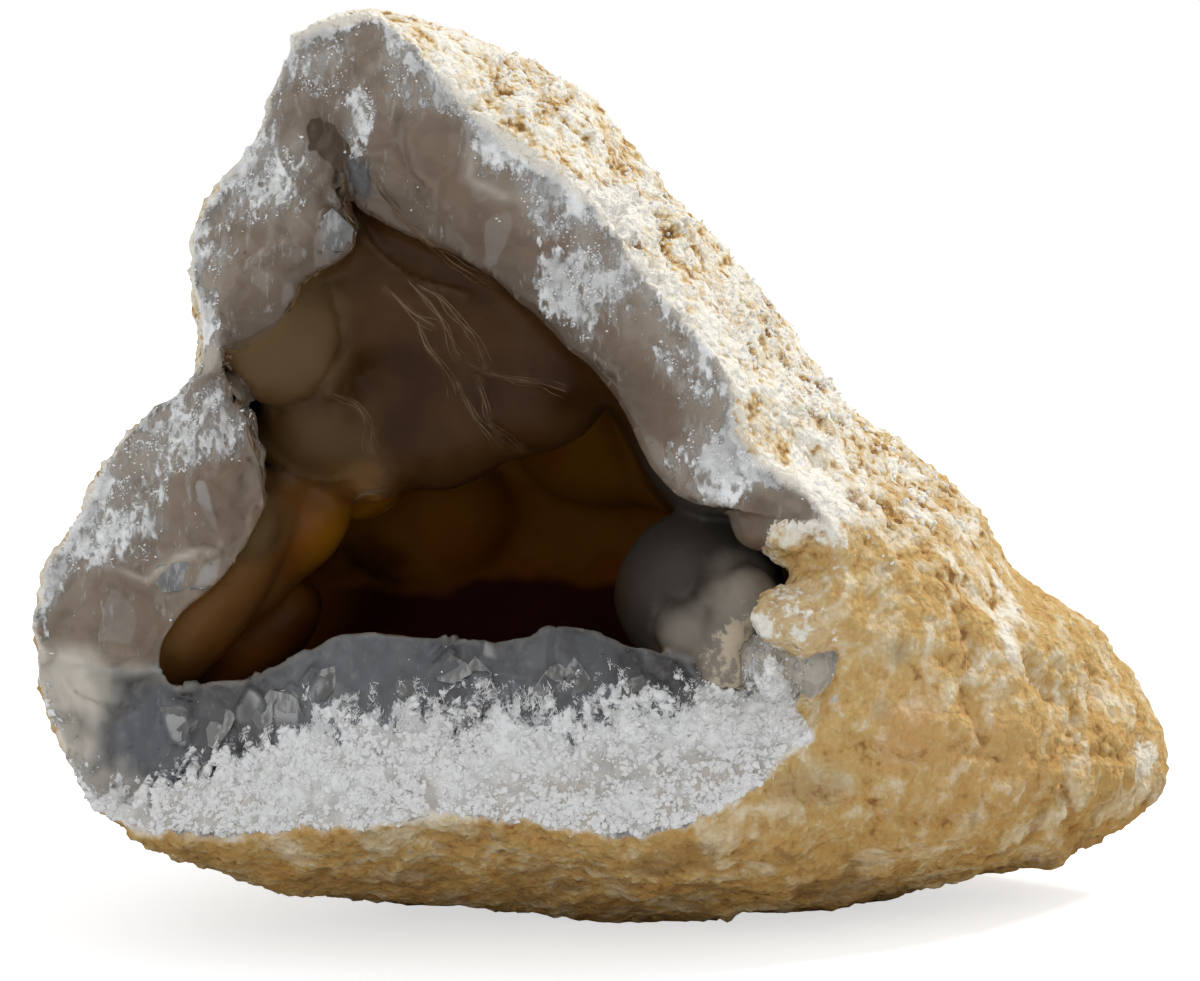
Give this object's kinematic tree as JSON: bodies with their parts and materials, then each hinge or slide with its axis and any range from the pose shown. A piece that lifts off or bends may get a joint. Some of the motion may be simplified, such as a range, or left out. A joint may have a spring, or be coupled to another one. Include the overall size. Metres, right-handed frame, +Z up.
{
  "type": "rough chalcedony nodule",
  "caption": "Rough broken chalcedony nodule in a limestone rind, with an open hollow lined with rounded growths, resting on its flat underside.",
  "frame": {"origin": "middle of the bounding box, at the resting face", "axes": "+Z up, +X along the length towards the pointed tail, +Y from the open mouth to the rounded back"},
  "size_m": [0.1502, 0.0906, 0.1192],
  "materials": {
    "chalcedony": "translucent grey chalcedony with frosted white fractures, inside a rough cream to ochre limestone rind"
  },
  "bodies": {
    "root": {"chalcedony_stone": "chalcedony"}
  },
  "joints": []
}
